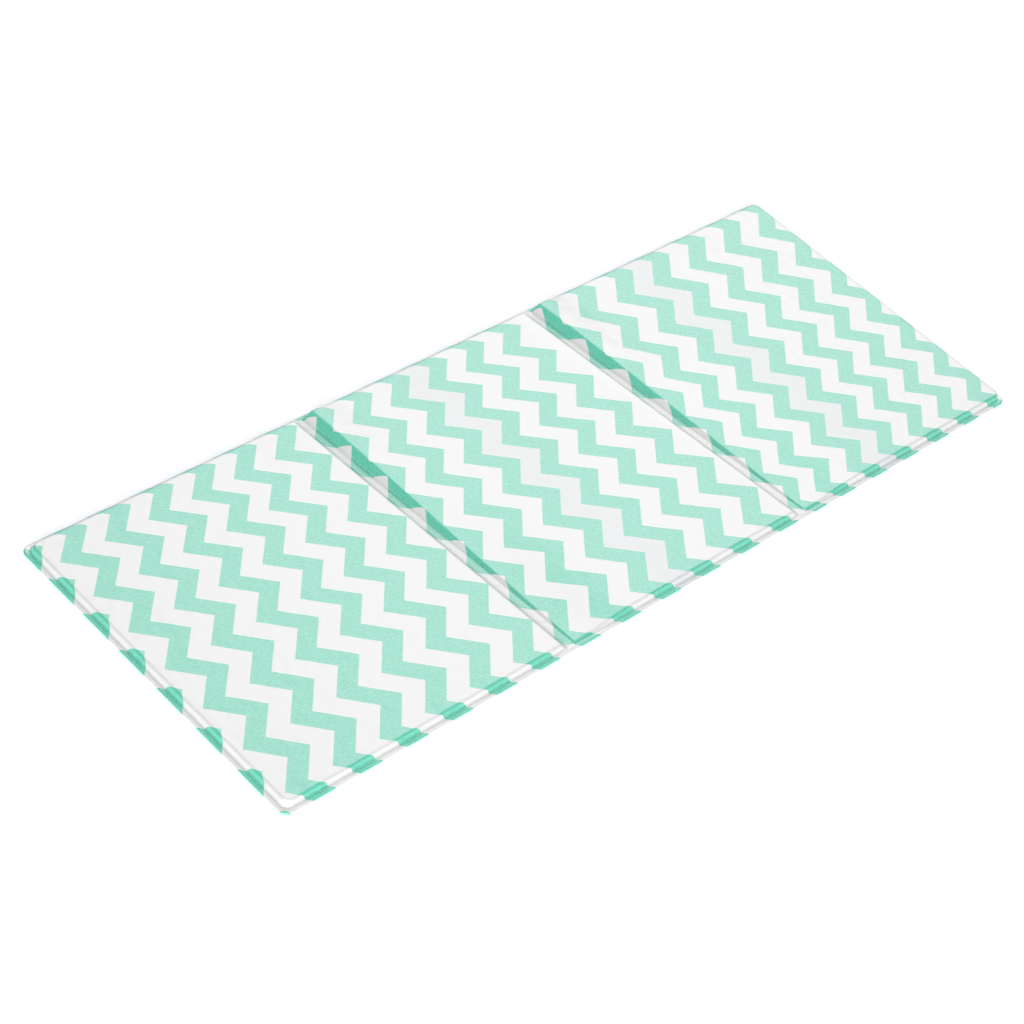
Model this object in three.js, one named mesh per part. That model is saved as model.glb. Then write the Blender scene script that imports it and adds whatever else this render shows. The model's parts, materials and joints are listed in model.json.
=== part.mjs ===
// Three-panel folding padded mat.
//
// Millimetres, +Z up. The origin is on the floor, under the middle of the mat. +X runs along the mat from the
// left panel to the right panel, and +Y runs from the front edge to the back edge.
//
// Each panel is a foam core between a printed cover and a plain backing. The two cloths meet in a flat flange
// with a turned edge around the mat. Between panels they are sewn to each other, and that flat strip is the hinge.
// The left strip is wide enough to fold the left panel up onto the middle one: it bends at two creases.
// The right strip folds the right panel down and back under the middle one: it bends once, along its middle.

import * as THREE from 'three';

// Overall size
const matLength = 800;
const matWidth = 300;
const matHeight = 7.8;
const leftPanelLength = 274; // from the outer edge to the middle of the left fold
const rightPanelLength = 271; // from the outer edge to the middle of the right fold

// Layers, from the floor up
const clothThickness = 0.8;
const layerGap = 0.3;

// The flange around the outside
const flangeWidth = 7; // from the outer edge to the foot of the padding
const turnedEdgeWidth = 2.7;
const turnedEdgeHeight = 2.2;
const matCornerRadius = 7.5;
const edgeSeamInset = 3.4; // from the outer edge to the seam's thread

// The padding
const padCornerRadius = 5.5;
const padShoulderWidth = 3.5;

// The sewn strips between panels
const creaseSpacing = 15; // twice the padding above a crease, and 1.3 mm so that folded pads don't press
const creaseToPad = 1.75;
const creaseToPanelCloth = 1.4;
const creaseToStrip = 1.05;
const foldToSeam = 2.75; // from the middle of a fold to each of its two threads
const rightStripGap = 0.4; // between the two halves of the right strip, where it bends
const threadWidth = 0.6;
const threadHeight = 0.35;
const threadLift = 0.1;

// Facets
const cornerSteps = 6;
const shoulderSteps = 5;
const smallestRadius = 0.3;

// Heights and places worked out from the dimensions above
const backingTop = clothThickness;
const coverBottom = backingTop + layerGap;
const flangeTop = coverBottom + clothThickness;
const foldFromCrease = creaseSpacing / 2;
const foldToPad = foldFromCrease + creaseToPad;
const foldToPanelCloth = foldFromCrease + creaseToPanelCloth;
const edgeBandInset = turnedEdgeWidth + layerGap;

const leftEnd = -matLength / 2;
const rightEnd = matLength / 2;
const frontEnd = -matWidth / 2;
const backEnd = matWidth / 2;
const leftFoldX = leftEnd + leftPanelLength;
const rightFoldX = rightEnd - rightPanelLength;

// Each panel's two ends: where its cloth stops, where its padding stops and how round the cloth's corners are.
const roundedEnd = matCornerRadius - edgeBandInset;
const panels = [
  {
    name: 'left_panel',
    cloth: { left: leftEnd + edgeBandInset, right: leftFoldX - foldToPanelCloth },
    pad: { left: leftEnd + flangeWidth, right: leftFoldX - foldToPad },
    clothRadius: { left: roundedEnd, right: smallestRadius },
  },
  {
    name: 'middle_panel',
    cloth: { left: leftFoldX + foldToPanelCloth, right: rightFoldX - foldToPanelCloth },
    pad: { left: leftFoldX + foldToPad, right: rightFoldX - foldToPad },
    clothRadius: { left: smallestRadius, right: smallestRadius },
  },
  {
    name: 'right_panel',
    cloth: { left: rightFoldX + foldToPanelCloth, right: rightEnd - edgeBandInset },
    pad: { left: rightFoldX + foldToPad, right: rightEnd - flangeWidth },
    clothRadius: { left: smallestRadius, right: roundedEnd },
  },
];

const printedCloth = new THREE.MeshStandardMaterial({ color: 0x9fe0cf, roughness: 0.75, metalness: 0 });
const whiteCloth = new THREE.MeshStandardMaterial({ color: 0xf1f1ee, roughness: 0.8, metalness: 0 });
const foam = new THREE.MeshStandardMaterial({ color: 0xe9e6da, roughness: 0.95, metalness: 0 });
const thread = new THREE.MeshStandardMaterial({ color: 0xe6ebe7, roughness: 0.6, metalness: 0 });

const mat = new THREE.Group();

function addPiece(name, geometry, material) {
  const piece = new THREE.Mesh(geometry, material);
  piece.name = name;
  mat.add(piece);
  return piece;
}

// Points of a quarter turn, from one angle to the next, in degrees.
function arcPoints(centreX, centreY, radius, startAngle) {
  const points = [];
  for (let step = 0; step <= cornerSteps; step += 1) {
    const angle = THREE.MathUtils.degToRad(startAngle + (90 * step) / cornerSteps);
    points.push([centreX + radius * Math.cos(angle), centreY + radius * Math.sin(angle)]);
  }
  return points;
}

// A level rectangle with round corners, counter-clockwise seen from above.
function roundedRing(ends, sideInset, radius, inset, z) {
  const left = ends.left + inset;
  const right = ends.right - inset;
  const front = frontEnd + sideInset + inset;
  const back = backEnd - sideInset - inset;
  const leftRadius = Math.max(radius.left - inset, smallestRadius);
  const rightRadius = Math.max(radius.right - inset, smallestRadius);
  const points = [
    ...arcPoints(right - rightRadius, front + rightRadius, rightRadius, -90),
    ...arcPoints(right - rightRadius, back - rightRadius, rightRadius, 0),
    ...arcPoints(left + leftRadius, back - leftRadius, leftRadius, 90),
    ...arcPoints(left + leftRadius, front + leftRadius, leftRadius, 180),
  ];
  return points.map(([x, y]) => new THREE.Vector3(x, y, z));
}

// A closed body through a chain of rings: the first ring is capped upwards and the last one downwards.
function chainGeometry(rings) {
  const count = rings[0].length;
  const positions = rings.flat();
  const faces = [];
  const capCentres = [rings[0], rings[rings.length - 1]].map((ring) => {
    const centre = new THREE.Box3().setFromPoints(ring).getCenter(new THREE.Vector3());
    positions.push(centre);
    return positions.length - 1;
  });
  const lastRing = (rings.length - 1) * count;
  for (let point = 0; point < count; point += 1) {
    const next = (point + 1) % count;
    faces.push(capCentres[0], point, next);
    faces.push(capCentres[1], lastRing + next, lastRing + point);
    for (let ring = 0; ring < rings.length - 1; ring += 1) {
      const upper = ring * count;
      const lower = upper + count;
      faces.push(lower + point, lower + next, upper + next);
      faces.push(lower + point, upper + next, upper + point);
    }
  }
  const geometry = new THREE.BufferGeometry().setFromPoints(positions);
  geometry.setIndex(faces);
  geometry.computeVertexNormals();
  return geometry;
}

// The padding's side from its flat top down to its foot: a quarter of an ellipse.
function padRings(panel, inset, footZ, topZ) {
  const rings = [];
  const radius = { left: padCornerRadius, right: padCornerRadius };
  for (let step = shoulderSteps; step >= 0; step -= 1) {
    const angle = (Math.PI / 2) * (step / shoulderSteps);
    const shoulderInset = inset + padShoulderWidth * (1 - Math.cos(angle));
    const z = footZ + (topZ - footZ) * Math.sin(angle);
    rings.push(roundedRing(panel.pad, flangeWidth, radius, shoulderInset, z));
  }
  return rings;
}

function clothRing(panel, z) {
  return roundedRing(panel.cloth, edgeBandInset, panel.clothRadius, 0, z);
}

// The printed cover: a shallow cap, open underneath, with its flange around the foot.
function coverGeometry(panel) {
  const outside = padRings(panel, 0, flangeTop, matHeight);
  const inside = padRings(panel, clothThickness, coverBottom, matHeight - clothThickness).reverse();
  return chainGeometry([...outside, clothRing(panel, flangeTop), clothRing(panel, coverBottom), ...inside]);
}

function foamGeometry(panel) {
  const top = matHeight - clothThickness - layerGap;
  return chainGeometry(padRings(panel, clothThickness + layerGap, coverBottom, top));
}

function backingGeometry(panel) {
  return chainGeometry([clothRing(panel, backingTop), clothRing(panel, 0)]);
}

function extrudeOutline(points, bottomZ, height) {
  const shape = new THREE.Shape(points.map(([x, y]) => new THREE.Vector2(x, y)));
  const geometry = new THREE.ExtrudeGeometry(shape, { depth: height, bevelEnabled: false });
  return geometry.translate(0, 0, bottomZ);
}

function boxGeometry(lowX, highX, lowY, highY, lowZ, highZ) {
  const geometry = new THREE.BoxGeometry(highX - lowX, highY - lowY, highZ - lowZ);
  return geometry.translate((lowX + highX) / 2, (lowY + highY) / 2, (lowZ + highZ) / 2);
}

// One side of a U-shaped band around the left end of the mat, from the back straight to the front one.
function roundTheLeftEnd(openX, inset) {
  const radius = matCornerRadius - inset;
  const centreX = leftEnd + matCornerRadius;
  return [
    [openX, backEnd - inset],
    ...arcPoints(centreX, backEnd - matCornerRadius, radius, 90),
    ...arcPoints(centreX, frontEnd + matCornerRadius, radius, 180),
    [openX, frontEnd + inset],
  ];
}

// A band around the three outer edges of an end panel. The right panel's band is the left one turned half round.
function endBandGeometry(openDistance, inset, width, bottomZ, height) {
  const openX = leftEnd + openDistance;
  const outline = [...roundTheLeftEnd(openX, inset), ...roundTheLeftEnd(openX, inset + width).reverse()];
  return extrudeOutline(outline, bottomZ, height);
}

function addPanel(panel) {
  addPiece(`${panel.name}_printed_cover`, coverGeometry(panel), printedCloth);
  addPiece(`${panel.name}_foam_core`, foamGeometry(panel), foam);
  addPiece(`${panel.name}_backing`, backingGeometry(panel), whiteCloth);
}

function addEndPanelEdges(name, panelLength, turn) {
  const openDistance = panelLength - foldToPanelCloth;
  const turnedEdge = endBandGeometry(openDistance, 0, turnedEdgeWidth, 0, turnedEdgeHeight);
  const seamZ = flangeTop + threadLift;
  const seam = endBandGeometry(openDistance, edgeSeamInset, threadWidth, seamZ, threadHeight);
  addPiece(`${name}_turned_edge`, turnedEdge.rotateZ(turn), printedCloth);
  addPiece(`${name}_edge_seam`, seam.rotateZ(turn), thread);
}

function addMiddlePanelEdge(side, direction) {
  const { left, right } = panels[1].cloth;
  const edgeGeometry = (inset, width, bottomZ, height) => {
    const outerY = direction * (backEnd - inset);
    const innerY = direction * (backEnd - inset - width);
    const lowY = Math.min(outerY, innerY);
    const highY = Math.max(outerY, innerY);
    return boxGeometry(left, right, lowY, highY, bottomZ, bottomZ + height);
  };
  const turnedEdge = edgeGeometry(0, turnedEdgeWidth, 0, turnedEdgeHeight);
  const seam = edgeGeometry(edgeSeamInset, threadWidth, flangeTop + threadLift, threadHeight);
  addPiece(`middle_panel_${side}_turned_edge`, turnedEdge, printedCloth);
  addPiece(`middle_panel_${side}_edge_seam`, seam, thread);
}

function addStripCloths(name, lowX, highX) {
  const backing = boxGeometry(lowX, highX, frontEnd, backEnd, 0, backingTop);
  const top = boxGeometry(lowX, highX, frontEnd, backEnd, coverBottom, flangeTop);
  addPiece(`${name}_printed_cloth`, top, printedCloth);
  addPiece(`${name}_backing_cloth`, backing, whiteCloth);
}

function addSeam(name, middleX) {
  const lowX = middleX - threadWidth / 2;
  const highX = middleX + threadWidth / 2;
  const lowZ = flangeTop + threadLift;
  const lowY = frontEnd + turnedEdgeWidth;
  const seam = boxGeometry(lowX, highX, lowY, -lowY, lowZ, lowZ + threadHeight);
  addPiece(`${name}_seam`, seam, thread);
}

// One strip between its two creases.
function addLeftFold() {
  const halfWidth = foldFromCrease - creaseToStrip;
  addStripCloths('left_fold', leftFoldX - halfWidth, leftFoldX + halfWidth);
  addSeam('left_fold_outer', leftFoldX - foldToSeam);
  addSeam('left_fold_inner', leftFoldX + foldToSeam);
}

// Two half strips, one on each panel, that meet at the bend.
function addRightFold() {
  const nearX = rightStripGap / 2;
  const farX = foldToPanelCloth - layerGap;
  addStripCloths('right_fold_inner', rightFoldX - farX, rightFoldX - nearX);
  addStripCloths('right_fold_outer', rightFoldX + nearX, rightFoldX + farX);
  addSeam('right_fold_inner', rightFoldX - foldToSeam);
  addSeam('right_fold_outer', rightFoldX + foldToSeam);
}

panels.forEach(addPanel);
addEndPanelEdges('left_panel', leftPanelLength, 0);
addEndPanelEdges('right_panel', rightPanelLength, Math.PI);
addMiddlePanelEdge('front', -1);
addMiddlePanelEdge('back', 1);
addLeftFold();
addRightFold();

export default mat;
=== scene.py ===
import json
import math

import bmesh
import bpy
from mathutils import Matrix, Vector, noise


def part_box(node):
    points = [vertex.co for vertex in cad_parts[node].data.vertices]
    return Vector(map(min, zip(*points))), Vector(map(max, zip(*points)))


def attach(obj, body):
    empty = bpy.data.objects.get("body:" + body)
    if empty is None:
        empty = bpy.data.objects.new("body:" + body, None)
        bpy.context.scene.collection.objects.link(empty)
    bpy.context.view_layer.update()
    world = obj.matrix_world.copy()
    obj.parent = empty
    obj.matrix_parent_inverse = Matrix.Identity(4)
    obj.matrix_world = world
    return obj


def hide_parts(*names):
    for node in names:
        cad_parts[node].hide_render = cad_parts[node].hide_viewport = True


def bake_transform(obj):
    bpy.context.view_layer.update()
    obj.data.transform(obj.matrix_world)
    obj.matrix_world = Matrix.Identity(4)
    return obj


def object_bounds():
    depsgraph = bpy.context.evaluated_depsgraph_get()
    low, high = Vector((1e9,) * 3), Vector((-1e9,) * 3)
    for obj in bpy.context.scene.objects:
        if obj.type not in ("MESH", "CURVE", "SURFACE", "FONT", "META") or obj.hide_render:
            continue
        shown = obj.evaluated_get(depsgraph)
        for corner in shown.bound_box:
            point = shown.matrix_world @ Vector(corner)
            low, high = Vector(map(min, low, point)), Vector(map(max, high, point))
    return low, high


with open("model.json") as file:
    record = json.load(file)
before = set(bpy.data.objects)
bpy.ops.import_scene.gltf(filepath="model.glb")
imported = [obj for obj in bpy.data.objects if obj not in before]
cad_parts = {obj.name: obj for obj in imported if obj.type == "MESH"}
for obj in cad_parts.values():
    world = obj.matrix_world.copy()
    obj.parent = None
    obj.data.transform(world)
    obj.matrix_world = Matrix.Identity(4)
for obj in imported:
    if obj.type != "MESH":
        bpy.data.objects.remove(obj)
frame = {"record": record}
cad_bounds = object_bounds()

# A folding padded mat of three panels. Lengths are in millimetres, and MM turns them to metres.
# "along" is measured from the left end to the right end, "across" from the front edge to the back edge.
MM = 0.001

# The mat's own sizes
cad_high = cad_bounds[1]
HALF_LENGTH = cad_high.x / MM
HALF_WIDTH = cad_high.y / MM
PAD_TOP = cad_high.z / MM
FLANGE_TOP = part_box("left_fold_printed_cloth")[1].z / MM
hinge_along = {joint["name"]: joint["pos_m"][0] / MM for joint in frame["record"]["behaviour"]["joints"]}
OUTER_CREASE = hinge_along["left_fold_outer_crease"]
INNER_CREASE = hinge_along["left_fold_inner_crease"]
LEFT_FOLD = (OUTER_CREASE + INNER_CREASE) / 2
RIGHT_FOLD = hinge_along["right_fold_bend"]
MAT_MIDDLE = (LEFT_FOLD + RIGHT_FOLD) / 2

# The flat flange and its turned edge
CORNER_RADIUS = 7.5
EDGE_SEAM_INSET = 3.4
TURN_HALF_WIDTH = 1.35
TURN_HALF_HEIGHT = 1.17
TURN_START = 3.0
TURN_ARC = 3.96
TURNED_UNDER = 1.5
UNROLLED = TURN_ARC - TURN_HALF_WIDTH + TURNED_UNDER
COVER_THICKNESS = 0.35

# The padding
PAD_RISE = PAD_TOP - FLANGE_TOP
PAD_INSET_NEAR = 4.4
PAD_INSET_FAR = 3.0
PAD_SHOULDER = 3.3
PAD_CORNER = 7.0
CROWN_SHARE = 0.07
CROWN_REACH = 35.0
PAD_SIDE_STEEPNESS = 2.5
PAD_SIDE_ROUNDNESS = 0.6
PUCKERS_START = 3.0
PUCKERS_FADE_FROM = 4.0
PUCKERS_FADE = 16.0
PUCKER_HEIGHT = 0.25
PUCKER_LENGTH = 8.0
WAVE_HEIGHT = 0.16
WAVE_LENGTH = 55.0

# The sewn strips between the panels. Each wanders a little along the mat on its way from front to back, and
# the panel to its right stands up beside it as a wall: high at the back edge, low at the front edge.
FOLD_SEAM_OFFSET = 2.75
LEFT_FOLD_LEAN = -0.053
RIGHT_FOLD_LEAN = -0.085
LEAN_FULL = 12.0
LEAN_REACH = 75.0
STRIP_HALF = 3.3
SLOPE_LENGTH = 8.0
WALL_STARTS_FRONT = 3.3
WALL_STARTS_BACK = 1.4
CREST_FRONT = 1.2
CREST_BACK = 8.4
WALL_FRONT = 1.2
WALL_BACK = 7.9
SETTLES_FRONT = 75.0
SETTLES_BACK = 30.0
PLEAT_HEIGHT = 0.14
PLEAT_SPACING = 1.7
WALL_ROUNDNESS = 0.9
SEAM_DIP = 0.06
SEAM_DIP_WIDTH = 0.55

# The print: chevron stripes, and how far they run off square on each panel
PRINT_REPEAT = 42.0
EDGE_EXTRA = 3.0
WALL_EXTRA_FRONT = 4.4
WALL_EXTRA_BACK = 7.4
NEAR_FOLD_REACH = 45.0
PRINT_REACH_ALONG = 130.0
PRINT_REACH_ACROSS = 140.0
PRINT_ON_PANEL = {
    "left": {
        "middle": -260, "along": -242, "across": 18,
        "lean": -3.5, "twist": -5, "sag": 0.5, "slide": 1.5, "bow": -6.5, "skew": 0,
    },
    "middle": {
        "middle": 11, "along": -247, "across": 18,
        "lean": -14.5, "twist": -5, "sag": 2, "slide": -2.5, "bow": -6.5, "skew": -2,
    },
    "right": {
        "middle": 271, "along": -246, "across": 2,
        "lean": -5.5, "twist": 8, "sag": 0.5, "slide": -1, "bow": 9, "skew": -2,
    },
}
# Beside the right fold the print is pulled further along and across the mat, and turns a little
NEAR_FOLD_ALONG = 3.8
NEAR_FOLD_ACROSS = 2.0
NEAR_FOLD_TURN = -0.016
# The middle panel's print stops, and the right panel's starts, in the middle of a white stripe
MIDDLE_PRINT_ENDS = 8.5
RIGHT_PRINT_STARTS = 8.5
RIGHT_PRINT_LINE = RIGHT_FOLD - 9.0

# Camera
CAMERA_AIMS_AT = Vector((-58.1, -17.3, 0.0)) * MM
CAMERA_AZIMUTH = 36.02
CAMERA_ELEVATION = 42.95
CAMERA_ROLL = 15.34
CAMERA_DISTANCE = 2.208
CAMERA_LENS = 101.02


def smooth(value):
    share = min(max(value, 0.0), 1.0)
    return share * share * (3 - 2 * share)


def mix(first, second, share):
    return first + (second - first) * share


def stops(start, end, spacing):
    """Places from start up to, but not at, end, about one spacing apart."""
    count = max(1, round(abs(end - start) / spacing))
    return [mix(start, end, step / count) for step in range(count)]


# Shape of the cover


def lean(along, across):
    """How far the cloth is pulled along the mat by the wandering folds."""
    pull = 0.0
    for fold, slope in ((LEFT_FOLD, LEFT_FOLD_LEAN), (RIGHT_FOLD, RIGHT_FOLD_LEAN)):
        nearness = smooth(1 - (abs(along - fold) - LEAN_FULL) / LEAN_REACH)
        pull += slope * across * nearness
    return pull


def nearer_fold(along):
    return LEFT_FOLD if along < MAT_MIDDLE else RIGHT_FOLD


def towards_back(across):
    return smooth(0.5 + across / (2 * HALF_WIDTH))


def wall_span(across):
    """Where the wall starts, from the middle of the fold, and how wide it is."""
    back = towards_back(across)
    return mix(WALL_STARTS_FRONT, WALL_STARTS_BACK, back), mix(WALL_FRONT, WALL_BACK, back)


def fold_rise(along, across):
    """The cover's height over the flange beside a fold, away from the mat's edges."""
    back = towards_back(across)
    crest = mix(CREST_FRONT, CREST_BACK, back)
    wall_start, wall = wall_span(across)
    from_fold = along - nearer_fold(along)
    pleats = PLEAT_HEIGHT * math.sin(2 * math.pi * from_fold / PLEAT_SPACING)
    if from_fold < -STRIP_HALF:
        share = min((-from_fold - STRIP_HALF) / SLOPE_LENGTH, 1)
        return PAD_RISE * smooth(share)
    if from_fold <= wall_start:
        over_the_strip = (from_fold + STRIP_HALF) / (wall_start + STRIP_HALF)
        return pleats * math.sin(math.pi * over_the_strip)
    up_the_wall = (from_fold - wall_start) / wall
    if up_the_wall < 1:
        bulge = crest * math.sin(math.pi / 2 * up_the_wall) ** WALL_ROUNDNESS
        return bulge + pleats * math.sin(math.pi * up_the_wall)
    settles = mix(SETTLES_FRONT, SETTLES_BACK, back)
    return mix(crest, PAD_RISE, smooth((from_fold - wall_start - wall) / settles))


def pad_inset(place):
    """The flange is wider on the left and front sides than on the right and back ones."""
    return PAD_INSET_FAR if place > 0 else PAD_INSET_NEAR


def into_the_pad(along, across):
    """Distance inside the foot of the padding around the mat's outer edge."""
    from_end = HALF_LENGTH - abs(along) - pad_inset(along)
    from_side = HALF_WIDTH - abs(across) - pad_inset(across)
    return PAD_CORNER - math.hypot(max(PAD_CORNER - from_end, 0), max(PAD_CORNER - from_side, 0))


def edge_rise(along, across):
    """The share of its height that the padding has this near to the mat's outer edge."""
    inside = into_the_pad(along, across)
    share = min(max(inside / PAD_SHOULDER, 0), 1)
    shoulder = (1 - (1 - share) ** PAD_SIDE_STEEPNESS) ** PAD_SIDE_ROUNDNESS
    return shoulder * (1 - CROWN_SHARE + CROWN_SHARE * smooth(inside / CROWN_REACH))


def seam_dip(distance):
    return SEAM_DIP * math.exp(-((distance / SEAM_DIP_WIDTH) ** 2))


def cover_height(along, across):
    rise = fold_rise(along, across) * edge_rise(along, across)
    inside = into_the_pad(along, across)
    near_edge = smooth(inside / PUCKERS_START) * (1 - smooth((inside - PUCKERS_FADE_FROM) / PUCKERS_FADE))
    pucker = noise.noise(Vector((along / PUCKER_LENGTH, across / PUCKER_LENGTH, 3.0)))
    wave = noise.noise(Vector((along / WAVE_LENGTH, across / WAVE_LENGTH, 9.0)))
    raised = min(rise / PAD_RISE, 1)
    relief = raised * (PUCKER_HEIGHT * pucker * near_edge + WAVE_HEIGHT * wave)
    from_edge = min(HALF_LENGTH - abs(along), HALF_WIDTH - abs(across))
    from_fold = abs(along - nearer_fold(along))
    dips = seam_dip(from_edge - EDGE_SEAM_INSET) + seam_dip(from_fold - FOLD_SEAM_OFFSET)
    return FLANGE_TOP + rise + relief - dips


def turned_edge(inside):
    """Where a point this far inside the unrolled cloth's edge lies: inset from the outline, and height."""
    if inside >= TURN_HALF_WIDTH:
        lift = 2 * TURN_HALF_HEIGHT - FLANGE_TOP
        return inside, FLANGE_TOP + lift * smooth((TURN_START - inside) / (TURN_START - TURN_HALF_WIDTH))
    round_the_edge = (TURN_HALF_WIDTH - inside) / TURN_ARC
    if round_the_edge < 1:
        angle = math.pi * round_the_edge
        return TURN_HALF_WIDTH * (1 - math.sin(angle)), TURN_HALF_HEIGHT * (1 + math.cos(angle))
    return TURN_HALF_WIDTH * 2 - TURN_ARC - inside, 0.0


def outward(along, across, radius):
    """The nearest point of the mat's inner rectangle, the way from it to this point, and how far out it is.

    How far out is the larger of the two distances, which turns the grid's square corners into round ones.
    """
    core_x = min(max(along, radius - HALF_LENGTH), HALF_LENGTH - radius)
    core_y = min(max(across, radius - HALF_WIDTH), HALF_WIDTH - radius)
    way = Vector((along - core_x, across - core_y))
    reach = max(abs(way.x), abs(way.y))
    return Vector((core_x, core_y)), way.normalized() if reach > 0 else way, reach


def place_cover(along, across):
    core, way, reach = outward(along, across, CORNER_RADIUS)
    inside = CORNER_RADIUS - reach
    if inside >= TURN_START:
        flat = core + way * reach
        height = cover_height(flat.x, flat.y)
    else:
        inset, height = turned_edge(inside)
        flat = core + way * (CORNER_RADIUS - inset)
    return Vector((flat.x + lean(flat.x, flat.y), flat.y, height))


# The print's place on the cloth


def past_the_shoulder(distance):
    return EDGE_EXTRA * (1 - smooth((distance - PAD_INSET_NEAR) / PAD_SHOULDER))


def print_on(panel, along, across):
    drift = PRINT_ON_PANEL[panel]
    down = (along - drift["middle"]) / PRINT_REACH_ALONG
    over = across / PRINT_REACH_ACROSS
    from_start = drift["along"] + drift["lean"] * over + drift["twist"] * down * over
    from_start += drift["sag"] * down * down
    from_side = drift["across"] + drift["slide"] * over + drift["bow"] * over * over
    from_side += drift["skew"] * down * over
    return Vector((along - from_start, across - from_side))


def print_place(along, across, panel):
    """Print coordinates, one unit per repeat. The cloth over a shoulder or a wall is longer than its plan."""
    x = along + lean(along, across)
    x += math.copysign(past_the_shoulder(HALF_LENGTH - abs(along)), along)
    y = across + math.copysign(past_the_shoulder(HALF_WIDTH - abs(across)), across)
    wall_start, wall = wall_span(across)
    up_the_wall = min(max((along - nearer_fold(along) - wall_start) / wall, 0), 1)
    if panel == "right" and along >= RIGHT_PRINT_LINE:
        near = smooth(1 - (along - RIGHT_FOLD - wall_start - wall) / NEAR_FOLD_REACH)
        pull = Vector((NEAR_FOLD_ALONG + NEAR_FOLD_TURN * y, NEAR_FOLD_ACROSS)) * near
        wall_extra = mix(WALL_EXTRA_FRONT, WALL_EXTRA_BACK, towards_back(across))
        spot = (print_on("right", x, y) - pull - Vector((wall_extra * (1 - up_the_wall), 0))) / PRINT_REPEAT
        return Vector((max(spot.x, RIGHT_PRINT_STARTS), spot.y))
    if along > MAT_MIDDLE:
        spot = print_on("middle", x, y) / PRINT_REPEAT
        return Vector((min(spot.x, MIDDLE_PRINT_ENDS), spot.y))
    return print_on("left", x, y).lerp(print_on("middle", x, y), up_the_wall) / PRINT_REPEAT


# Making pieces


def finish_mesh(name, bm, material):
    mesh = bpy.data.meshes.new(name)
    bm.to_mesh(mesh)
    bm.free()
    for face in mesh.polygons:
        face.use_smooth = True
    mesh.materials.append(material)
    piece = bpy.data.objects.new(name, mesh)
    bpy.context.scene.collection.objects.link(piece)
    return piece


def cloth_grid(columns, rows, place, pattern):
    """A grid laid out on the given columns and rows, with a UV map that follows the cloth."""
    bm = bmesh.new()
    last_column, last_row = len(columns) - 1, len(rows) - 1
    bmesh.ops.create_grid(bm, x_segments=last_column, y_segments=last_row, size=1)
    cloth_map = bm.loops.layers.uv.new("cloth")
    for vert in bm.verts:
        along = columns[round((vert.co.x + 1) / 2 * last_column)]
        across = rows[round((vert.co.y + 1) / 2 * last_row)]
        vert.co = place(along, across) * MM
        spot = pattern(along, across)
        for loop in vert.link_loops:
            loop[cloth_map].uv = spot
    # A sharp outline keeps the cut edge's shading off the cloth
    for edge in bm.edges:
        if edge.is_boundary:
            edge.smooth = False
    return bm


def thicken(piece, thickness):
    solidify = piece.modifiers.new("cloth thickness", "SOLIDIFY")
    solidify.thickness = thickness * MM
    solidify.offset = -1


def bend_at(piece):
    """Applies the piece's transform to its mesh."""
    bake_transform(piece)


# Materials


def linear(hex_colour):
    """An sRGB hex colour as linear RGBA."""
    channels = [int(hex_colour[i : i + 2], 16) / 255 for i in (0, 2, 4)]
    return [c / 12.92 if c <= 0.04045 else ((c + 0.055) / 1.055) ** 2.4 for c in channels] + [1.0]


def add(tree, kind, settings=None, inputs=None):
    """Adds a node. An input is a value, or a link given as (node, output)."""
    node = tree.nodes.new(kind)
    for key, value in (settings or {}).items():
        setattr(node, key, value)
    for key, value in (inputs or {}).items():
        if isinstance(value, tuple) and isinstance(value[0], bpy.types.Node):
            tree.links.new(value[0].outputs[value[1]], node.inputs[key])
        else:
            node.inputs[key].default_value = value
    return node


def maths(tree, operation, first, second=None):
    """A maths node on one or two inputs, each a value or a link."""
    inputs = {0: first} if second is None else {0: first, 1: second}
    return add(tree, "ShaderNodeMath", {"operation": operation}, inputs)


def two_tones(tree, share, first, second):
    """A colour between two hex colours."""
    inputs = {0: share, 6: linear(first), 7: linear(second)}
    return add(tree, "ShaderNodeMix", {"data_type": "RGBA"}, inputs)


def bump_from(tree, shader, height, distance, strength):
    """Gives the shader fine relief, this many metres deep."""
    bump = add(tree, "ShaderNodeBump", inputs={"Height": height, "Distance": distance, "Strength": strength})
    tree.links.new(bump.outputs[0], shader.inputs["Normal"])


def new_material(name):
    material = bpy.data.materials.new(name)
    material.use_nodes = True
    tree = material.node_tree
    return material, tree, tree.nodes["Principled BSDF"]


def plain_weave(tree, spot, threads):
    """Height of a plain weave: over and under in turn, with this many threads to one unit of spot."""
    split = add(tree, "ShaderNodeSeparateXYZ", inputs={0: spot})
    waves = []
    for axis in (0, 1):
        turn = maths(tree, "MULTIPLY", (split, axis), 2 * math.pi * threads)
        waves.append(maths(tree, "SINE", (turn, 0)))
    return maths(tree, "MULTIPLY", (waves[0], 0), (waves[1], 0))


# Threads in cloth like this are usually about 0.3 mm apart. They are drawn 1.2 mm apart to let the weave show
DRAWN_THREAD = 1.2
WEAVE_HEIGHT = 0.05
SLUB_SPACING = 1.8
STRIPE_HALF = 0.24
STRIPE_SOFT_EDGE = 0.006
ZIGZAG_DEPTH = 0.25
GREYER_STRIPE_EVERY = 6.0
FIRST_GREYER_AFTER = 2.5


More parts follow.
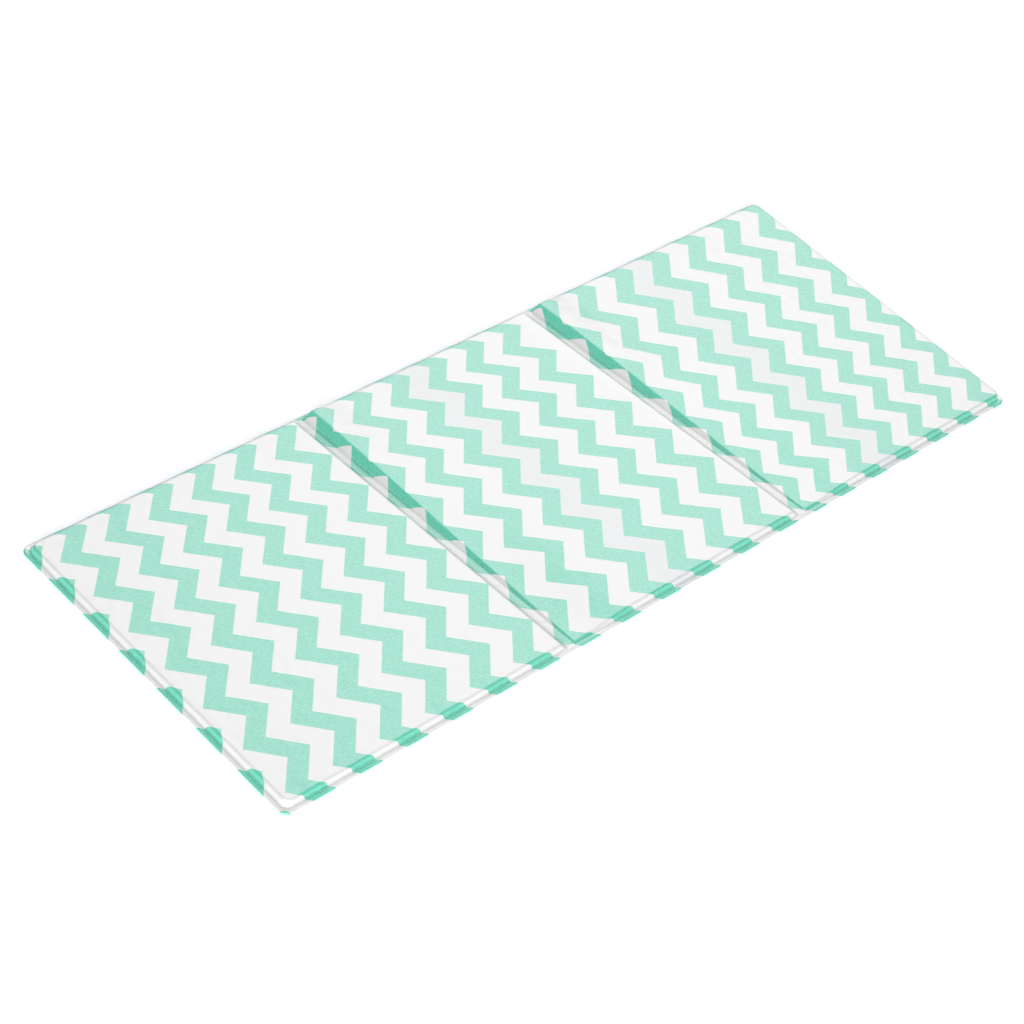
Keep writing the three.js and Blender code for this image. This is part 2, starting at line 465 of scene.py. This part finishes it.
def printed_polyester():
    """Woven polyester under a clear film, which gives a broad soft shine over the printed chevrons."""
    material, tree, shader = new_material("printed woven polyester")
    cloth = add(tree, "ShaderNodeUVMap", {"uv_map": "cloth"})
    split = add(tree, "ShaderNodeSeparateXYZ", inputs={0: (cloth, 0)})
    zigzag = maths(tree, "PINGPONG", (split, 1), 0.5)
    shifted = maths(tree, "ADD", (split, 0), (zigzag, 0))
    across_stripes = maths(tree, "SUBTRACT", (shifted, 0), ZIGZAG_DEPTH)
    from_stripe = maths(tree, "PINGPONG", (across_stripes, 0), 0.5)
    ink = add(
        tree,
        "ShaderNodeMapRange",
        {"interpolation_type": "SMOOTHSTEP"},
        {
            "Value": (from_stripe, 0),
            "From Min": STRIPE_HALF + STRIPE_SOFT_EDGE,
            "From Max": STRIPE_HALF - STRIPE_SOFT_EDGE,
        },
    )
    # One white stripe in six is a little greyer, from the second time round
    stripe_number = maths(tree, "FLOOR", (across_stripes, 0))
    next_number = maths(tree, "ADD", (stripe_number, 0), 1.0)
    in_six = maths(tree, "MODULO", (next_number, 0), GREYER_STRIPE_EVERY)
    sixth = maths(tree, "LESS_THAN", (in_six, 0), 0.5)
    later = maths(tree, "GREATER_THAN", (stripe_number, 0), FIRST_GREYER_AFTER)
    greyer = maths(tree, "MULTIPLY", (sixth, 0), (later, 0))
    white = two_tones(tree, (greyer, 0), "F8F9F7", "EAEEEF")
    # Rows of slightly darker and lighter thread in the ink
    slubs = add(tree, "ShaderNodeMapping", inputs={0: (cloth, 0), 3: (5.0, PRINT_REPEAT / SLUB_SPACING, 1.0)})
    thread_tone = add(tree, "ShaderNodeTexNoise", inputs={"Vector": (slubs, 0), "Scale": 2.0, "Detail": 2.0})
    thread_rows = add(
        tree, "ShaderNodeMapRange", inputs={"Value": (thread_tone, 0), "From Min": 0.35, "From Max": 0.65}
    )
    mint = two_tones(tree, (thread_rows, 0), "4AD2B0", "64E6C8")
    inks = {0: (ink, 0), 6: (white, 2), 7: (mint, 2)}
    colour = add(tree, "ShaderNodeMix", {"data_type": "RGBA"}, inks)
    tree.links.new(colour.outputs[2], shader.inputs["Base Color"])
    weave = plain_weave(tree, (cloth, 0), PRINT_REPEAT / DRAWN_THREAD)
    roughness = add(
        tree,
        "ShaderNodeMapRange",
        inputs={"Value": (weave, 0), "From Min": -1.0, "To Min": 0.46, "To Max": 0.4},
    )
    tree.links.new(roughness.outputs[0], shader.inputs["Roughness"])
    bump_from(tree, shader, (weave, 0), WEAVE_HEIGHT * MM, 0.6)
    shader.inputs["IOR"].default_value = 1.55
    shader.inputs["Specular IOR Level"].default_value = 0.8
    shader.inputs["Coat Weight"].default_value = 1.0
    shader.inputs["Coat Roughness"].default_value = 0.4
    shader.inputs["Coat IOR"].default_value = 2.2
    return material


def plain_polyester():
    """Undyed woven polyester backing: a matt, slightly warm white with a visible weave."""
    material, tree, shader = new_material("plain white woven polyester")
    cloth = add(tree, "ShaderNodeUVMap", {"uv_map": "cloth"})
    tone = add(tree, "ShaderNodeTexNoise", inputs={"Vector": (cloth, 0), "Scale": 90.0, "Detail": 4.0})
    colour = two_tones(tree, (tone, 0), "ECECE8", "F6F6F2")
    tree.links.new(colour.outputs[2], shader.inputs["Base Color"])
    weave = plain_weave(tree, (cloth, 0), PRINT_REPEAT / DRAWN_THREAD)
    bump_from(tree, shader, (weave, 0), WEAVE_HEIGHT * MM, 0.8)
    shader.inputs["Roughness"].default_value = 0.85
    shader.inputs["Sheen Weight"].default_value = 0.2
    return material


def open_cell_foam():
    """Open-cell polyurethane foam: dull, cream, with fine pores about half a millimetre wide."""
    material, tree, shader = new_material("open cell foam")
    place = add(tree, "ShaderNodeTexCoord")
    pores = add(tree, "ShaderNodeTexVoronoi", inputs={"Vector": (place, "Object"), "Scale": 1 / (0.5 * MM)})
    colour = two_tones(tree, (pores, 0), "D9D2BE", "EFEADA")
    tree.links.new(colour.outputs[2], shader.inputs["Base Color"])
    bump_from(tree, shader, (pores, 0), 0.2 * MM, 0.7)
    shader.inputs["Roughness"].default_value = 0.95
    return material


def sewing_thread():
    """Spun polyester sewing thread: off-white, softly shiny, with a fine twist."""
    material, tree, shader = new_material("polyester sewing thread")
    place = add(tree, "ShaderNodeTexCoord")
    twist = add(tree, "ShaderNodeTexNoise", inputs={"Vector": (place, "Object"), "Scale": 1 / (0.3 * MM)})
    colour = two_tones(tree, (twist, 0), "DDE8E3", "F2F6F3")
    tree.links.new(colour.outputs[2], shader.inputs["Base Color"])
    bump_from(tree, shader, (twist, 0), 0.05 * MM, 0.6)
    shader.inputs["Roughness"].default_value = 0.5
    return material


printed_cloth = printed_polyester()
white_cloth = plain_polyester()
foam = open_cell_foam()
thread = sewing_thread()

# Covers: one printed cloth over the whole mat, in three pieces. The left and middle ones meet in the left
# fold's strip. The right one starts before the right fold, so that the whole bend lies inside one piece.
LEFT_END = -HALF_LENGTH - UNROLLED
RIGHT_END = HALF_LENGTH + UNROLLED
RIGHT_COVER_START = RIGHT_FOLD - 17.0
CREASE_REACH = 1.2
FINE, MEDIUM, WIDE = 0.55, 1.2, 2.0
EDGE_BAND = 16.0
FINE_BEFORE_FOLD = 20
FINE_AFTER_FOLD = 14
MEDIUM_AFTER_FOLD = 38

cover_rows = [
    *stops(-HALF_WIDTH - UNROLLED, EDGE_BAND - HALF_WIDTH, FINE),
    *stops(EDGE_BAND - HALF_WIDTH, HALF_WIDTH - EDGE_BAND, WIDE),
    *stops(HALF_WIDTH - EDGE_BAND, HALF_WIDTH + UNROLLED, FINE),
    HALF_WIDTH + UNROLLED,
]
cover_columns = {
    "left": [
        *stops(LEFT_END, EDGE_BAND - HALF_LENGTH, FINE),
        *stops(EDGE_BAND - HALF_LENGTH, LEFT_FOLD - FINE_BEFORE_FOLD, WIDE),
        *stops(LEFT_FOLD - FINE_BEFORE_FOLD, LEFT_FOLD, FINE),
        LEFT_FOLD,
    ],
    "middle": [
        *stops(LEFT_FOLD, LEFT_FOLD + FINE_AFTER_FOLD, FINE),
        *stops(LEFT_FOLD + FINE_AFTER_FOLD, LEFT_FOLD + MEDIUM_AFTER_FOLD, MEDIUM),
        *stops(LEFT_FOLD + MEDIUM_AFTER_FOLD, RIGHT_FOLD - FINE_BEFORE_FOLD, WIDE),
        *stops(RIGHT_FOLD - FINE_BEFORE_FOLD, RIGHT_COVER_START, FINE),
        RIGHT_COVER_START,
    ],
    "right": [
        *stops(RIGHT_COVER_START, RIGHT_FOLD + FINE_AFTER_FOLD, FINE),
        *stops(RIGHT_FOLD + FINE_AFTER_FOLD, RIGHT_FOLD + MEDIUM_AFTER_FOLD, MEDIUM),
        *stops(RIGHT_FOLD + MEDIUM_AFTER_FOLD, HALF_LENGTH - EDGE_BAND, WIDE),
        *stops(HALF_LENGTH - EDGE_BAND, RIGHT_END, FINE),
        RIGHT_END,
    ],
}


def make_cover(panel):
    def pattern(along, across):
        return print_place(along, across, panel)

    bm = cloth_grid(cover_columns[panel], cover_rows, place_cover, pattern)
    piece = finish_mesh(f"{panel}_panel_cover", bm, printed_cloth)
    thicken(piece, COVER_THICKNESS)
    return piece


left_cover = make_cover("left")
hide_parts("left_panel_printed_cover", "left_panel_turned_edge")
bend_at(left_cover)

middle_cover = make_cover("middle")
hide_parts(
    "middle_panel_printed_cover",
    "middle_panel_front_turned_edge",
    "middle_panel_back_turned_edge",
    "left_fold_printed_cloth",
    "right_fold_inner_printed_cloth",
)
bend_at(middle_cover)

right_cover = make_cover("right")
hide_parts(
    "right_panel_printed_cover", "right_panel_turned_edge", "right_fold_outer_printed_cloth"
)
bend_at(right_cover)

# Backing: one plain white cloth under the whole mat, tucked into the turned edge
BACKING_THICKNESS = 0.5
BACKING_INSET = 1.0
BACKING_AT_EDGE = 1.05
BACKING_INSIDE = 0.6
BACKING_SPACING = 3.0
BACKING_BEND = 6.0


def plain_pattern(along, across):
    return along / PRINT_REPEAT, across / PRINT_REPEAT


def place_backing(along, across):
    core, way, reach = outward(along, across, CORNER_RADIUS)
    flat = core + way * reach
    from_edge = min(HALF_LENGTH - abs(flat.x), HALF_WIDTH - abs(flat.y))
    height = mix(BACKING_AT_EDGE, BACKING_INSIDE, smooth((from_edge - 3) / 5))
    return Vector((flat.x, flat.y, height))


def make_backing(name, start, end, fine_start, fine_end):
    """A sheet from start to end, with closer columns between fine_start and fine_end."""
    columns = sorted(
        {
            *stops(start, fine_start, BACKING_SPACING),
            *stops(fine_start, fine_end, FINE),
            *stops(fine_end, end, BACKING_SPACING),
            end,
        }
    )
    edge = HALF_WIDTH - BACKING_INSET
    rows = [*stops(-edge, edge, BACKING_SPACING), edge]
    piece = finish_mesh(name, cloth_grid(columns, rows, place_backing, plain_pattern), white_cloth)
    thicken(piece, BACKING_THICKNESS)
    return piece


BACKING_END = HALF_LENGTH - BACKING_INSET
left_backing = make_backing(
    "left_panel_backing_cloth", -BACKING_END, LEFT_FOLD, OUTER_CREASE - BACKING_BEND, LEFT_FOLD
)
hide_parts("left_panel_backing")
bend_at(left_backing)

middle_backing = make_backing(
    "middle_panel_backing_cloth", LEFT_FOLD, RIGHT_COVER_START, LEFT_FOLD, INNER_CREASE + BACKING_BEND
)
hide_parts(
    "middle_panel_backing", "left_fold_backing_cloth", "right_fold_inner_backing_cloth"
)
bend_at(middle_backing)

right_backing = make_backing(
    "right_panel_backing_cloth", RIGHT_COVER_START, BACKING_END, RIGHT_COVER_START, RIGHT_FOLD + BACKING_BEND
)
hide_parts("right_panel_backing", "right_fold_outer_backing_cloth")
bend_at(right_backing)

# Foam cores, just under the covers
FOAM_INSET = 9.0
FOAM_GAP = 1.0
FOAM_BOTTOM = 0.9
FOAM_TO_CREASE = 4.0
THINNEST_FOAM = 0.3
FOAM_SPACING = 4.0


def foam_pattern(along, across):
    return along, across


def make_foam(panel, start, end):
    columns = [*stops(start, end, FOAM_SPACING), end]
    edge = HALF_WIDTH - FOAM_INSET
    rows = [*stops(-edge, edge, FOAM_SPACING), edge]

    def place_foam(x, across):
        # The lowest cover within one spacing along the mat, so that no foam face comes through it
        nearby = [x + step * FOAM_SPACING / 2 for step in (-2, -1, 0, 1, 2)]
        lowest = min(cover_height(near - lean(near, across), across) for near in nearby)
        height = max(lowest - FOAM_GAP, FOAM_BOTTOM + THINNEST_FOAM)
        return Vector((x, across, height))

    bm = cloth_grid(columns, rows, place_foam, foam_pattern)
    under = bmesh.ops.extrude_face_region(bm, geom=bm.faces[:], use_keep_orig=True)
    for part in under["geom"]:
        if isinstance(part, bmesh.types.BMVert):
            part.co.z = FOAM_BOTTOM * MM
    bmesh.ops.recalc_face_normals(bm, faces=bm.faces[:])
    piece = finish_mesh(f"{panel}_panel_foam", bm, foam)
    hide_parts(f"{panel}_panel_foam_core")
    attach(piece, f"{panel}_panel")


make_foam("left", FOAM_INSET - HALF_LENGTH, OUTER_CREASE - FOAM_TO_CREASE)
make_foam("middle", INNER_CREASE + FOAM_TO_CREASE, RIGHT_FOLD - FOAM_TO_CREASE)
make_foam("right", RIGHT_FOLD + FOAM_TO_CREASE, HALF_LENGTH - FOAM_INSET)

# Seams: single stitches of thread, laid along the flange and across the folds
STITCH_LENGTH = 2.4
STITCH_SPACING = 3.2
STITCH_WIDTH = 0.4
STITCH_HEIGHT = 0.24
STITCH_LIFT = 0.03


def walk(points, spacing):
    """Points an equal distance apart along a line of points, each with the way that the line runs there."""
    found = []
    travelled = spacing / 2
    for first, second in zip(points, points[1:]):
        step = second - first
        while travelled <= step.length:
            found.append((first + step.normalized() * travelled, step.normalized()))
            travelled += spacing
        travelled -= step.length
    return found


def make_stitches(name, lines, replaced):
    bm = bmesh.new()
    size = Matrix.Diagonal((STITCH_LENGTH / 2, STITCH_WIDTH / 2, STITCH_HEIGHT / 2, 1))
    for line in lines:
        for spot, way in walk(line, STITCH_SPACING):
            height = cover_height(spot.x, spot.y) + STITCH_LIFT
            place = Matrix.Translation((spot.x + lean(spot.x, spot.y), spot.y, height))
            turn = Matrix.Rotation(math.atan2(way.y, way.x), 4, "Z")
            scale = Matrix.Scale(MM, 4)
            bmesh.ops.create_icosphere(bm, subdivisions=2, radius=1, matrix=scale @ place @ turn @ size)
    piece = finish_mesh(name, bm, thread)
    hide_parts(replaced)
    return piece


def beside_crease(x, across):
    """The point of the cover that the lean brings to about x."""
    return Vector((x - lean(x, across), across))


def end_seam(side, stop):
    """The flange's seam round one end of the mat: side is -1 for the left end and 1 for the right end."""
    radius = CORNER_RADIUS - EDGE_SEAM_INSET
    centre = Vector((side * (HALF_LENGTH - CORNER_RADIUS), HALF_WIDTH - CORNER_RADIUS))
    quarter = [math.pi / 2 * step / 8 for step in range(9)]
    corner = [Vector((side * math.sin(angle), math.cos(angle))) * radius for angle in quarter]
    back = [centre + way for way in corner]
    front = [Vector((point.x, -point.y)) for point in reversed(back)]
    seam_across = HALF_WIDTH - EDGE_SEAM_INSET
    return [beside_crease(stop, seam_across), *back, *front, beside_crease(stop, -seam_across)]


def across_mat(along):
    reach = HALF_WIDTH - EDGE_SEAM_INSET - 1
    return [Vector((along, -reach)), Vector((along, reach))]


def along_edge(side):
    across = side * (HALF_WIDTH - EDGE_SEAM_INSET)
    return [beside_crease(INNER_CREASE + 2, across), beside_crease(RIGHT_FOLD - 3, across)]


for name, body, line in (
    ("left_panel_edge", "left_panel", end_seam(-1, OUTER_CREASE - 2)),
    ("right_panel_edge", "right_panel", end_seam(1, RIGHT_FOLD + 3)),
    ("middle_panel_front_edge", "middle_panel", along_edge(-1)),
    ("middle_panel_back_edge", "middle_panel", along_edge(1)),
):
    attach(make_stitches(f"{name}_stitches", [line], f"{name}_seam"), body)

for name, first, second, crease, reach, fold, side in (
    ("left_fold_outer", "left_panel", "left_fold", OUTER_CREASE, CREASE_REACH, LEFT_FOLD, -1),
    ("left_fold_inner", "left_fold", "middle_panel", INNER_CREASE, CREASE_REACH, LEFT_FOLD, 1),
    ("right_fold_inner", "middle_panel", "right_panel", RIGHT_FOLD, FOLD_SEAM_OFFSET, RIGHT_FOLD, -1),
    ("right_fold_outer", "middle_panel", "right_panel", RIGHT_FOLD, FOLD_SEAM_OFFSET, RIGHT_FOLD, 1),
):
    line = across_mat(fold + side * FOLD_SEAM_OFFSET)
    bend_at(make_stitches(f"{name}_stitches", [line], f"{name}_seam"))


# Floor, light and camera
def make_floor():
    material, _, shader = new_material("pale studio floor")
    shader.inputs["Base Color"].default_value = linear("F6F6F8")
    shader.inputs["Roughness"].default_value = 0.9
    shader.inputs["Specular IOR Level"].default_value = 0.1
    shader.inputs["Emission Color"].default_value = linear("F9F8FF")
    shader.inputs["Emission Strength"].default_value = 0.4
    bm = bmesh.new()
    bmesh.ops.create_grid(bm, x_segments=1, y_segments=1, size=6)
    floor = finish_mesh("floor", bm, material)
    floor.location.z = -0.05 * MM


def way_from(azimuth, elevation):
    """The unit way towards a place this far round from +X and this far up."""
    turn, tilt = math.radians(azimuth), math.radians(elevation)
    return Vector((math.cos(turn) * math.cos(tilt), math.sin(turn) * math.cos(tilt), math.sin(tilt)))


def soft_light(name, azimuth, elevation, distance, size, power):
    lamp = bpy.data.lights.new(name, "AREA")
    lamp.size = size
    lamp.energy = power
    light = bpy.data.objects.new(name, lamp)
    light.location = CAMERA_AIMS_AT + way_from(azimuth, elevation) * distance
    light.rotation_euler = way_from(azimuth, elevation).to_track_quat("Z", "Y").to_euler()
    bpy.context.scene.collection.objects.link(light)


def make_camera():
    camera = bpy.data.objects.new("camera", bpy.data.cameras.new("camera"))
    camera.data.lens = CAMERA_LENS
    camera.data.sensor_width = 36
    back = way_from(CAMERA_AZIMUTH + 180, CAMERA_ELEVATION)
    level_right = Vector((0, 0, 1)).cross(back).normalized()
    level_up = back.cross(level_right)
    roll = math.radians(CAMERA_ROLL)
    right = level_right * math.cos(roll) + level_up * math.sin(roll)
    up = back.cross(right)
    turn = Matrix((right, up, back)).transposed().to_4x4()
    camera.matrix_world = Matrix.Translation(CAMERA_AIMS_AT + back * CAMERA_DISTANCE) @ turn
    bpy.context.scene.collection.objects.link(camera)
    bpy.context.scene.camera = camera


make_floor()
world = bpy.data.worlds.new("studio")
bpy.context.scene.world = world
world.use_nodes = True
world.node_tree.nodes["Background"].inputs["Color"].default_value = linear("FFFFFF")
world.node_tree.nodes["Background"].inputs["Strength"].default_value = 0.27
soft_light("back light", CAMERA_AZIMUTH, CAMERA_ELEVATION, 5.2, 3.8, 100)
soft_light("low front light", CAMERA_AZIMUTH + 190, 22, 5.6, 4.4, 270)
make_camera()
bpy.context.scene.view_settings.view_transform = "Standard"
